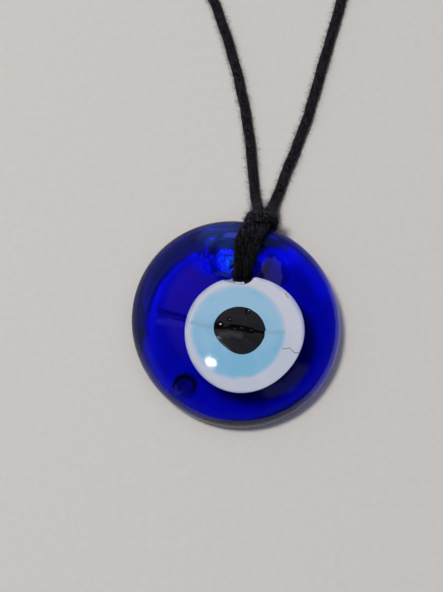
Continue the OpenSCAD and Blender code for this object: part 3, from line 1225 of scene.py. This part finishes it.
@dataclass
class Eye:
    """The eye: white, light blue and black glass, one on the other."""

    disc: GlassDisc
    clearance: float = 0.02
    crack: Line = ((8.55, -5.55), (9.8, -5.45), (10.65, -6.3), (11.8, -6.35), (12.0, -5.9))
    # The line of the pupil's crease, along which shade is painted
    groove: Line = (
        (-4.4, -1.4), (-3.2, -1.65), (-2.45, -1.7), (-0.5, -1.42), (1.2, -1.65), (2.87, -2.18),
        (5.4, -2.55),
    )

    def hollow_cutter(self) -> Object:
        """Make the ball that pressed the hollow, a little lower, so it clears the glass there.

        Returns:
            The cutter, in its place.
        """
        s, m = self.disc.surface, Mesher()
        bmesh.ops.create_uvsphere(m.bm, u_segments=96, v_segments=64, radius=s.hollow_r)
        place = Matrix.Translation((*s.hollow, s.hollow_w - self.clearance))
        return m.piece("hollow_cutter", LEAN.matrix() @ place)

    def pupil(self) -> EyeDot:
        """Plan the pupil: black glass with a crease, painted shade, glints and sheen, and three bubbles.

        Returns:
            The dot.
        """
        finish = OpaqueGlass(
            "black_glass_fire_polished",
            core="26272b",
            cloud="202125",
            edge="1a1c22",
            centre=(0.5, -2.0),
            edge_from=4.5,
            edge_to=4.9,
            roughness=0.05,
            cloud_mm=1.6,
            marks=(
                # Painted shade in the crease and along it
                Mark(self.groove, "030304", 0.16, 0.2),
                Mark(((-1.1, -1.5), (0.3, -1.6), (1.2, -1.75), (2.7, -2.2)), "040405", 0.42, 0.3),
                Mark(((-3.9, -1.3), (-3.0, -1.45)), "060607", 0.3, 0.3),
                # A painted sheen below the crease, and painted shade in two fine wrinkles
                Mark(((-3.2, -2.9), (-1.2, -2.7), (0.6, -3.1)), "3c3c40", 0.1, 0.7),
                Mark(((-0.9, -3.5), (0.5, -4.3), (0.8, -5.7)), "17171a", 0.0, 0.14),
                Mark(((1.6, -3.2), (2.6, -3.9)), "17171a", 0.0, 0.12),
                # Painted glints on two bubbles, and small grey painted glints on bubbles in the crease
                Mark(((-3.2, -0.9), (-3.1, -0.85)), "f0f0f4", 0.05, 0.12),
                Mark(((-1.35, 0.05), (-1.3, 0.07)), "90909a", 0.0, 0.12),
                Mark(((-0.55, -1.7), (-0.4, -1.75)), "3c3c42", 0.0, 0.18),
                Mark(((0.75, -1.55), (1.0, -1.6)), "46464c", 0.0, 0.18),
                Mark(((2.5, -1.95), (2.8, -2.0)), "34343a", 0.0, 0.18),
            ),
            # Rings of painted shade round the three bubbles
            rings=((-3.3, -1.0, 0.6), (-1.4, 0.0, 0.36), (2.0, 1.4, 0.4)),
        )
        return EyeDot(
            "pupil_glass",
            Node.PUPIL,
            Slot.BLACK,
            finish,
            centre=(0.5, -2.0),
            radius=4.75,
            thickness=0.5,
            proud=0.02,
            wobble=((2, 0.0487, -46), (3, 0.0234, 128), (4, 0.0145, -2)),
            rings=48,
            turns=208,
        )

    def iris(self, above: EyeDot) -> EyeDot:
        """Plan the iris: light blue glass with the fold and painted shade along it, under the pupil.

        Args:
            above: The pupil.

        Returns:
            The dot.
        """
        finish = OpaqueGlass(
            "light_blue_glass_fire_polished",
            core="a2ccea",
            cloud="88c1e4",
            edge="ccd2e6",
            centre=(0.15, -2.38),
            edge_from=8.1,
            edge_to=9.3,
            marks=(
                # Painted shade along the fold
                Mark(((-8.8, -0.5), (-6.4, -1.2), (-4.9, -1.5)), "93bcd6", 0.0, 0.8),
                Mark(((5.4, -2.5), (8.4, -2.45)), "93bcd6", 0.0, 0.8),
            ),
        )
        return EyeDot(
            "iris_glass",
            Node.IRIS,
            Slot.LIGHT_BLUE,
            finish,
            centre=(-0.1, -2.3),
            radius=9.3,
            thickness=0.95,
            proud=0.014,
            wobble=((1, 0.02, -20), (2, 0.008, 100), (3, 0.006, 20)),
            rings=46,
            turns=200,
            above=above,
        )

    def white(self, above: EyeDot) -> EyeDot:
        """Plan the white dot: opal glass with two fine cracks and small drops by the hole.

        Args:
            above: The iris.

        Returns:
            The dot.
        """
        finish = OpaqueGlass(
            "white_opal_glass_fire_polished",
            core="d6d8e6",
            cloud="ccd2e4",
            edge="a0aade",
            centre=(1.4, -2.75),
            edge_from=10.5,
            edge_to=11.5,
            marks=(
                Mark(self.crack, "8a8a96", 0.02, 0.14),
                Mark(((9.1, 5.0), (9.7, 4.1)), "9a9aa4", 0.02, 0.16),
            ),
        )
        return EyeDot(
            "white_dot_glass",
            Node.WHITE,
            Slot.WHITE,
            finish,
            centre=(1.5, -3.0),
            radius=11.15,
            thickness=1.75,
            proud=0.01,
            wobble=((1, 0.04, 118), (2, 0.0184, 64), (3, 0.0163, 61)),
            rings=52,
            turns=224,
            beads=(
                (-0.7, 7.3, 6.0, 0.26),
                (-0.1, 7.1, 6.15, 0.4),
                (0.5, 7.0, 6.2, 0.44),
                (1.1, 7.1, 6.1, 0.36),
            ),
            above=above,
        )

    def build(self) -> None:
        """Make the three dots; only the white one reaches the hollow and the hole."""
        pupil = self.pupil()
        iris = self.iris(pupil)
        self.white(iris).build([self.hollow_cutter(), self.disc.hole_cutter(self.clearance)])
        iris.build([])
        pupil.build([])


@dataclass(frozen=True)
class Route:
    """The cord's route: the points of the part's source, in millimetres."""

    cord_d: float = 1.7
    gap: float = 0.08
    lie: float = 0.9
    knot: Triple = (8.25, 130.0, 2.5)
    apart: float = 2.1
    surface: Surface = field(default_factory=Surface)
    left_run: tuple[Triple, ...] = (
        (7.2, 130, 2.5), (5, 123, 1.4), (-2.6, 112.5, 0.9), (-8.4, 101.5, 0.9), (-9.6, 89, 0.9),
        (-6.9, 76, 0.9), (-3.6, 67, 0.9), (0.1, 54, 0.9), (2.6, 40, 0.9), (3.8, 26.6, 0.9),
    )
    right_run: tuple[Triple, ...] = (
        (7.9, 25.9, 0.9), (9.6, 30.5, 0.9), (14, 42, 0.9), (18, 55.5, 0.9), (22.1, 69.9, 0.9),
        (25, 82, 0.9), (26.1, 94, 0.9), (23.4, 106, 0.9), (16.8, 117, 0.9), (10.9, 124.5, 1.4),
        (9.3, 130, 2.5),
    )

    def by_rim(self, side: float, layer: float, angle: float) -> Triple:
        """Find a point of the cord beside the rounded rim.

        Args:
            side: How far sideways.
            layer: 1 on the glass, 2 on the first layer of cord.
            angle: Degrees above the widest line.

        Returns:
            The point on the disc.
        """
        s, r = self.surface, self.cord_d / 2
        edge = s.shoulder_r if angle >= 0 else s.heel_r
        out = edge + self.gap + r + (layer - 1) * (self.cord_d + self.gap)
        reach = s.disc_r - edge + out * math.cos(math.radians(angle))
        return (side, math.sqrt(reach**2 - side**2), s.girth_h + out * math.sin(math.radians(angle)))

    def left_rise(self) -> list[Triple]:
        """Left strand from the table up to the hitch."""
        return [(4, 24.9, -1), (4.1, 23.6, 0.6), (4.1, 22.3, 2.6), self.by_rim(3.85, 1.05, 20)]

    def hitch_run(self) -> list[Triple]:
        """Lead the cord through the hole, round the rim and across, and back the same way.

        Returns:
            The points on the disc.
        """
        rim = self.by_rim
        return [
            rim(3.3, 1.1, 45), rim(2.3, 1.12, 68), (1.35, 16.4, 7.7), (0.8, 14.3, 7.4),
            (0.42, 12.1, 6.85), (0.28, 10.7, 6), (0.25, 10.0, 4.9), (0.25, 9.9, 1.2),
            (0.2, 10.3, -0.1), (0.4, 11.3, -0.82), (1, 13.4, -0.98), (1.5, 16, -1),
            rim(1.8, 1.05, -68), rim(2.1, 0.9, -35), rim(2.4, 0.76, -8), rim(2.5, 0.74, 10),
            rim(2.6, 1.02, 28), rim(3.2, 1.8, 46), rim(4.3, 2.12, 54), rim(5.4, 2.12, 50),
            rim(6.5, 1.82, 39), rim(7.15, 1.28, 20), rim(7.2, 1.05, -5), rim(7.0, 1.05, -35),
            rim(6.3, 1.08, -68), (5.1, 16, -1), (3.6, 13.4, -0.98), (2.4, 11.3, -0.82),
            (1.95, 10.3, -0.1), (1.95, 9.9, 1.2), (1.95, 10.0, 4.9), (2.15, 10.7, 6.1),
            (2.6, 12.1, 6.9), (3.3, 14.3, 7.45), (4.05, 16.4, 7.7), rim(4.7, 1.1, 68),
            rim(5.25, 1.1, 45),
        ]

    def right_drop(self) -> list[Triple]:
        """Right strand from the hitch down to the table."""
        return [self.by_rim(5.65, 1.05, 20), (6.3, 22, 2.6), (6.9, 23.2, 0.6), (7.4, 24.4, -1)]

    def points(self) -> list[Vector]:
        """List all the route's points.

        Returns:
            The points in the row frame, in millimetres.
        """
        on_disc = [*self.left_rise(), *self.hitch_run(), *self.right_drop()]
        seated = [LEAN.matrix() @ Vector(p) / MM for p in on_disc]
        return [*map(Vector, self.left_run), *seated, *map(Vector, self.right_run)]

    def heading(self, points: list[Vector], i: int) -> Vector:
        """Find the direction of the smooth line at one of its points.

        Args:
            points: All the points.
            i: Index of the point.

        Returns:
            The direction, square to the knot at the line's ends.
        """
        if i == 0:
            return Vector((0, -1, 0))
        if i == len(points) - 1:
            return Vector((0, 1, 0))
        before, after = points[i] - points[i - 1], points[i + 1] - points[i]
        a, b = before.length, after.length
        return (after / b * a + before / a * b) / (a + b)

    def smooth(self, first: int, last: int, step: float) -> list[Vector]:
        """Follow the smooth line from one route point to another.

        Args:
            first: Index of the first point.
            last: Index of the last point.
            step: Length of each short piece, in millimetres.

        Returns:
            Points along it in the row frame, in millimetres, never lower than a cord on the table.
        """
        points = self.points()
        line: list[Vector] = []
        for i in range(first, last):
            gap = (points[i + 1] - points[i]).length
            a, b = self.heading(points, i) * gap, self.heading(points, i + 1) * gap
            count = max(round(gap / step), 1)
            for k in range(count):
                t = k / count
                p = (2 * t**3 - 3 * t**2 + 1) * points[i] + (t**3 - 2 * t**2 + t) * a
                p += (3 * t**2 - 2 * t**3) * points[i + 1] + (t**3 - t**2) * b
                line.append(p)
        line.append(points[last].copy())
        for p in line:
            p.z = max(p.z, self.lie)
        return line


@dataclass
class Strand:
    """A length of soft cord: a twisted core with loose fibres standing off it."""

    name: str
    line: list[Vector]
    radius: float
    seed: int
    # The core: its plies, the length of one twist, and how high plies, lumps and burrs stand
    sides: int = 18
    plies: int = 3
    lay_mm: float = 8.0
    ply_high: float = 0.06
    lump_high: float = 0.05
    burr_high: float = 0.12
    # The loose fibres: how many, how long and thick, their edges and how deep they are rooted
    fibres_per_mm: float = 60.0
    fibre_length: float = 1.7
    fibre_radius: float = 0.019
    fibre_steps: int = 2
    fibre_rooted: float = 0.12
    # The glass that the cord is tied on, and the lowest that its skin and its fibres lie
    tied_on: Surface | None = None
    skin_lie: float = 0.02
    fibre_lie: float = 0.03

    def frames(self) -> list[tuple[Vector, Vector, Vector]]:
        """Carry two square directions along the line without twist.

        Returns:
            The heading and the two directions at each point.
        """
        out: list[tuple[Vector, Vector, Vector]] = []
        side = Vector((0, 0, 1))
        last = len(self.line) - 1
        for i in range(last + 1):
            ahead = (self.line[min(i + 1, last)] - self.line[max(i - 1, 0)]).normalized()
            side = (side - ahead * side.dot(ahead)).normalized()
            out.append((ahead, side, ahead.cross(side)))
        return out

    def pressed(self, point: Vector) -> Pair:
        """Work out how the cord spreads where it is pulled tight over the glass.

        Args:
            point: A point of the line on the level disc.

        Returns:
            The shares of its width and of its height.
        """
        u, v, w = point
        r = math.hypot(u, v)
        # It is pulled flat on the front, and a little flatter and narrower under the bar at the rim
        over = smooth_step(5.5, 7.0, w) * smooth_step(10.0, 15.0, v)
        under = smooth_step(3.6, 2.8, u) * smooth_step(19.3, 20.2, r) * smooth_step(8.0, 6.0, w)
        return 1.05 + 0.3 * over - 0.1 * under, 1 - 0.3 * over - 0.3 * under

    def skin(self, at: Vector, off: Vector) -> Vector:
        """Place a point of the cord's skin, pressed against the glass where it is tied on it.

        Args:
            at: The middle of the cord.
            off: The way from there to the skin of the round cord.

        Returns:
            The place of the skin.
        """
        if self.tied_on is None:
            place = at + off
        else:
            turn = Matrix.Rotation(math.radians(LEAN.degrees), 3, "X")
            middle = LEAN.level(at)
            wide, high = self.pressed(middle)
            out = self.tied_on.outward(middle)
            level = turn.transposed() @ off * wide
            level -= out * level.dot(out) * (1 - high)
            place = LEAN.matrix() @ self.tied_on.clear(middle + level) / MM
        place.z = max(place.z, self.skin_lie)
        return place

    def core(self, bm: BMesh, frames: list[tuple[Vector, Vector, Vector]]) -> None:
        """Sweep the twisted core along the line.

        Args:
            bm: The mesh to add it to.
            frames: Directions at each point.
        """
        far = 0.0
        rings: list[list[BMVert]] = []
        for i, (p, (_, side, across)) in enumerate(zip(self.line, frames, strict=True)):
            if i:
                far += (p - self.line[i - 1]).length
            ring = []
            for k in range(self.sides):
                a = math.tau * k / self.sides
                ply = math.cos(self.plies * a - math.tau * far / self.lay_mm)
                lump = noise.noise(Vector((far * 0.8, math.cos(a) * 1.2 + self.seed, math.sin(a) * 1.2)))
                burr = noise.noise(Vector((far * 4.0, math.cos(a) * 5 + self.seed, math.sin(a) * 5)))
                rough = 1 + self.ply_high * ply + self.lump_high * lump + self.burr_high * burr
                r = self.radius * rough
                ring.append(bm.verts.new(self.skin(p, r * (math.cos(a) * side + math.sin(a) * across))))
            rings.append(ring)
        for low, high in zip(rings, rings[1:], strict=False):
            for k in range(self.sides):
                n = (k + 1) % self.sides
                bm.faces.new((low[k], low[n], high[n], high[k]))
        bm.faces.new(rings[0][::-1])
        bm.faces.new(rings[-1])

    def fibre(self, bm: BMesh, root: Vector, out: Vector, ahead: Vector, dice: random.Random) -> None:
        """Add one loose fibre: a thin three-sided hair that leaves the core and bends over.

        Args:
            bm: The mesh to add it to.
            root: Where it leaves the core.
            out: Direction away from the core.
            ahead: Direction along the cord.
            dice: Source of its own length and bend.
        """
        length = self.fibre_length * dice.uniform(0.35, 1.0) ** 1.5
        slant = dice.uniform(-1.0, 1.0)
        spin = out.cross(ahead) * dice.uniform(-1.0, 1.0)
        go = (out * dice.uniform(0.7, 1.8) + ahead * slant + spin).normalized()
        bend = (ahead * dice.uniform(-1, 1) + out * dice.uniform(-0.6, 0.6) + spin * 0.6).normalized()
        p = root - out * self.fibre_rooted
        steps = self.fibre_steps
        last: list[BMVert] = []
        for k in range(steps + 1):
            thick = self.fibre_radius * (1 - 0.6 * (k / steps))
            one = go.orthogonal().normalized()
            two = go.cross(one)
            turn = (0.0, math.tau / 3, 2 * math.tau / 3)
            ring = [bm.verts.new(p + thick * (math.cos(a) * one + math.sin(a) * two)) for a in turn]
            for j in range(3 if last else 0):
                bm.faces.new((last[j], last[(j + 1) % 3], ring[(j + 1) % 3], ring[j]))
            if not last:
                bm.faces.new(ring[::-1])
            last = ring
            go = (go + bend * 0.6).normalized()
            p = p + go * (length / steps)
            p.z = max(p.z, self.fibre_lie)
        bm.faces.new(last)

    def build(self) -> Object:
        """Make the strand with its fibres.

        Returns:
            The piece.
        """
        m = Mesher()
        frames = self.frames()
        self.core(m.bm, frames)
        dice = random.Random(self.seed)
        for i in range(len(self.line) - 1):
            step = self.line[i + 1] - self.line[i]
            wanted = step.length * self.fibres_per_mm
            count = int(wanted) + (dice.random() < wanted - int(wanted))
            ahead, side, across = frames[i]
            for _ in range(count):
                a = dice.uniform(0, math.tau)
                out = math.cos(a) * side + math.sin(a) * across
                root = self.skin(self.line[i] + step * dice.random(), out * self.radius)
                self.fibre(m.bm, root, out, ahead, dice)
        return m.piece(self.name, Matrix.Scale(MM, 4))


@dataclass
class CordLoop:
    """The whole cord: two strands, the hitch and the end knot."""

    route: Route = field(default_factory=Route)
    free_r: float = 0.98
    tied_r: float = 0.9
    knot_r: float = 0.8
    knot_turns: float = 2.75
    knot_steps: int = 90
    wound_r: float = 1.66
    wound_from: float = 0.85
    wound_long: float = 3.3
    # A cut end's middle and tip: sideways, along and up from the knot
    tail_mid: Triple = (0.8, 3.6, 0.0)
    tail_tip: Triple = (1.83, 8.6, -1.4)
    finish: SpunCotton = field(default_factory=SpunCotton)
    step: float = 0.45
    tied_step: float = 0.3

    def knot(self, material: Material) -> Object:
        """Wind the end knot: three turns round both strands, and the two cut ends.

        Args:
            material: The cord's material.

        Returns:
            The piece.
        """
        at = Vector(self.route.knot)
        wind: list[Vector] = []
        for k in range(self.knot_steps + 1):
            t = k / self.knot_steps
            a = math.tau * self.knot_turns * t + 0.6
            reach = self.wound_r * smooth_step(-0.1, 0.05, t) * smooth_step(1.1, 0.95, t)
            along = self.wound_from + self.wound_long * t
            wind.append(at + Vector((reach * math.cos(a), along, reach * math.sin(a))))
        pieces = [Strand("end_knot_turns", wind, self.knot_r, seed=31).build()]
        for side in (-1, 1):
            start = at + Vector((side * self.route.apart / 2, 0.6, 0))
            mid = at + Vector((side * self.tail_mid[0], *self.tail_mid[1:]))
            end = at + Vector((side * self.tail_tip[0], *self.tail_tip[1:]))
            tail = [start.lerp(mid, t / 6) for t in range(6)]
            tail += [mid.lerp(end, t / 12) for t in range(13)]
            pieces.append(Strand("tail", tail, self.knot_r, seed=40 + side).build())
        merged = bmesh.new()
        for piece in pieces:
            merged.from_mesh(piece.data)
            bpy.data.objects.remove(piece)
        mesh = bpy.data.meshes.new("end_knot_cord")
        merged.to_mesh(mesh)
        merged.free()
        knot = bpy.data.objects.new("end_knot_cord", mesh)
        bpy.context.scene.collection.objects.link(knot)
        dress(knot, Node.KNOT, material)
        return knot

    def build(self) -> None:
        material = self.finish.build()
        route = self.route
        first = len(route.left_run) + len(route.left_rise())
        last = first + len(route.hitch_run()) - 1
        end = len(route.points()) - 1
        knot = self.knot(material)
        left = route.smooth(0, first, self.step)
        left_piece = Strand("left_strand", left, self.free_r, seed=11).build()
        dress(left_piece, Node.LEFT, material)
        right = route.smooth(last, end, self.step)
        right_piece = Strand("right_strand", right, self.free_r, seed=12).build()
        dress(right_piece, Node.RIGHT, material)
        hitch = route.smooth(first, last, self.tied_step)
        tied = Strand(
            "hitch_cord", hitch, self.tied_r, seed=13, fibre_length=1.5, tied_on=route.surface
        ).build()
        dress(tied, Node.HITCH, material)


@dataclass(frozen=True)
class Lamp:
    """One soft lamp.

    Its direction is in degrees, its distance and width are in metres, and the point that it hangs
    over is in millimetres.
    """

    name: str
    azimuth: float
    elevation: float
    distance: float
    width: float
    radiance: float
    over: Triple = (0.0, 0.0, 0.0)
    mirrored: bool = True
    squash: float = 1.0
    turn: float = 0.0


@dataclass
class Studio:
    """The pale table, the soft lights and the camera."""

    target: Triple = (-2.95, 5.55, 3.0)
    distance: float = 220.0
    elevation: float = 76.0
    focal_px: float = 1134.5
    frame_px: tuple[int, int] = (443, 592)
    sensor_mm: float = 36.0
    table_mm: float = 3000.0
    grain_mm: float = 1.2
    # Directions in which the room is brighter, and of the pale patch nearly overhead
    bright_side: Triple = (-0.8, 0.6, 0.0)
    pale_patch: Triple = (-0.08, 0.15, 0.985)
    lamps: tuple[Lamp, ...] = (
        Lamp("ceiling_lamp", 160, 73, 1.0, 0.2, 57.5, mirrored=False),
        Lamp("ceiling_glow", 90, 90, 1.1, 1.8, 0.42, mirrored=False),
        Lamp("small_lamp", 98, 86.2, 0.9, 0.0112, 150.0, (-5.8, -13.5, 7.6), squash=0.37, turn=-26.0),
    )

    def camera(self) -> None:
        """Place the camera at the photo's angle."""
        data = bpy.data.cameras.new("camera")
        data.sensor_width = self.sensor_mm
        data.lens = self.sensor_mm * self.focal_px / max(self.frame_px)
        data.clip_start, data.clip_end = 0.005, 20.0
        up = math.radians(self.elevation)
        back = Vector((0, -math.cos(up), math.sin(up)))
        camera = bpy.data.objects.new("camera", data)
        camera.location = (Vector(self.target) + back * self.distance) * MM
        camera.rotation_euler = (-back).to_track_quat("-Z", "Y").to_euler()
        bpy.context.scene.collection.objects.link(camera)
        bpy.context.scene.camera = camera

    def lamp(self, lamp: Lamp) -> None:
        """Hang a soft lamp that faces the amulet.

        Args:
            lamp: Its place, size and brightness.
        """
        data = bpy.data.lights.new(lamp.name, "AREA")
        data.shape = "ELLIPSE"
        data.size, data.size_y = lamp.width, lamp.width * lamp.squash
        # Its power is its radiance times pi times the area of the ellipse
        data.energy = lamp.radiance * math.pi * math.pi * data.size * data.size_y / 4
        a, e = math.radians(lamp.azimuth), math.radians(lamp.elevation)
        way = Vector((math.cos(a) * math.cos(e), math.sin(a) * math.cos(e), math.sin(e)))
        piece = bpy.data.objects.new(lamp.name, data)
        piece.location = Vector(lamp.over) * MM + way * lamp.distance
        spin = Quaternion((0, 0, 1), math.radians(lamp.turn))
        piece.rotation_euler = (way.to_track_quat("Z", "Y") @ spin).to_euler()
        piece.visible_glossy = lamp.mirrored
        piece.visible_transmission = lamp.mirrored
        bpy.context.scene.collection.objects.link(piece)

    def table(self) -> None:
        """Lay the table top: a board with satin paint, whose fine grain only just shows."""
        m = Mesher()
        bmesh.ops.create_grid(m.bm, x_segments=1, y_segments=1, size=self.table_mm / 2)
        top = m.piece("table_top", Matrix.Scale(MM, 4), smooth=False)
        material = bpy.data.materials.new("painted_board_satin")
        batch = Batch(material)
        place = batch.add("TexCoord").node.outputs["Object"]
        grain = batch.add("TexNoise", Vector=place, Scale=1 / (self.grain_mm * MM), Detail=3.0)
        tone = batch.add("ValToRGB", grain, stops=((0.3, "dcd8d5"), (0.7, "e0dcd8")))
        skin = batch.add("BsdfPrincipled", Base_Color=tone, Roughness=0.7, Specular_IOR_Level=0.3)
        batch.add("OutputMaterial", skin)
        top.data.materials.append(material)

    def room(self) -> None:
        """Surround the table with a dim room: brighter low on the left, a pale patch nearly overhead."""
        world = bpy.data.worlds.new("room")
        batch = Batch(world)
        way = batch.add("TexCoord")
        axes = batch.add("SeparateXYZ", way).node.outputs
        darker_up = ((0.0, 0.25), (0.5, 0.22), (0.86, 0.1), (0.95, 0.05))
        height = batch.add("ValToRGB", axes["Z"], stops=darker_up)
        side = batch.add(DOT, way, self.bright_side)
        dim = batch.product(height, batch.add("MapRange", side, -0.25, 0.9, 0.12, 1.3))
        off = batch.add("VectorMath SUBTRACT", way, self.pale_patch)
        far = batch.add("VectorMath LENGTH", off)
        glow = batch.add("Math ADD", dim, batch.add(FADE, far, 0.03, 0.16, 0.22, 0.0))
        violet = batch.add(FADE, far, 0.03, 0.2, 1.0, 0.0)
        tone = batch.add("Mix RGBA", violet, linear("eef0f6"), linear("ffa8f4"))
        batch.add("OutputWorld", batch.add("Background", tone, glow))
        bpy.context.scene.world = world

    def lights(self) -> None:
        """Light the table from the upper left, and keep the colours plain."""
        self.room()
        for lamp in self.lamps:
            self.lamp(lamp)
        bpy.context.scene.view_settings.view_transform = "Standard"


def main() -> None:
    """Build the cord, the glass and the studio."""
    logging.basicConfig(level=logging.INFO, format="%(name)s %(message)s")
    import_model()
    studio = Studio()
    studio.camera()
    CordLoop().build()
    disc = GlassDisc()
    disc.build()
    Eye(disc).build()
    studio.table()
    studio.lights()


if __name__ == "__main__":
    main()
